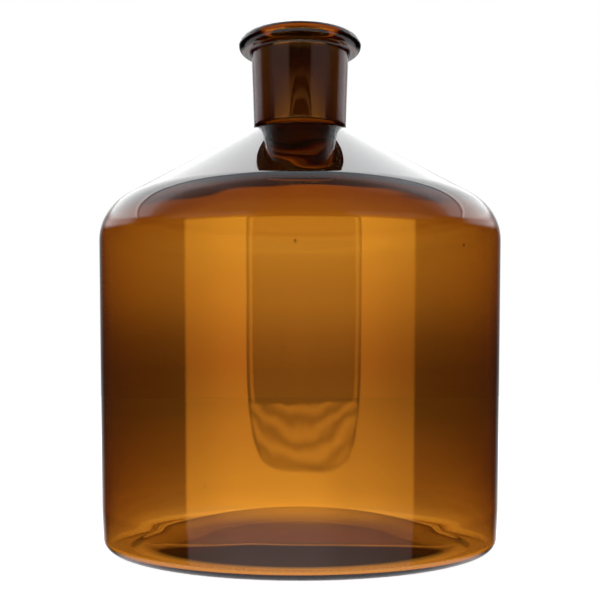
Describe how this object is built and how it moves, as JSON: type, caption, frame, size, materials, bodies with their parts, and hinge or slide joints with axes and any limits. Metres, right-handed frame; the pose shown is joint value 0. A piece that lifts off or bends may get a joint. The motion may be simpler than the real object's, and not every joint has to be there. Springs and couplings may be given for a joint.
{
  "type": "narrow-mouth reagent bottle",
  "caption": "Open amber glass reagent bottle with a thick ground-joint socket, flared lip, conical shoulder, straight wall and pushed-up base",
  "frame": {"origin": "centre of the base circle, on the plane that the foot stands on", "axes": "+Z is the bottle's axis, out of the mouth; X and Y are any two level directions, as the bottle is round"},
  "size_m": [0.144, 0.144, 0.1836],
  "materials": {
    "amber_glass": "clear amber glass, fire-polished and glossy outside, faintly wavy, with a few seed bubbles; the socket's tapered bore is finely ground"
  },
  "bodies": {
    "root": {"neck_socket": "amber_glass", "bottle_body": "amber_glass"}
  },
  "joints": []
}
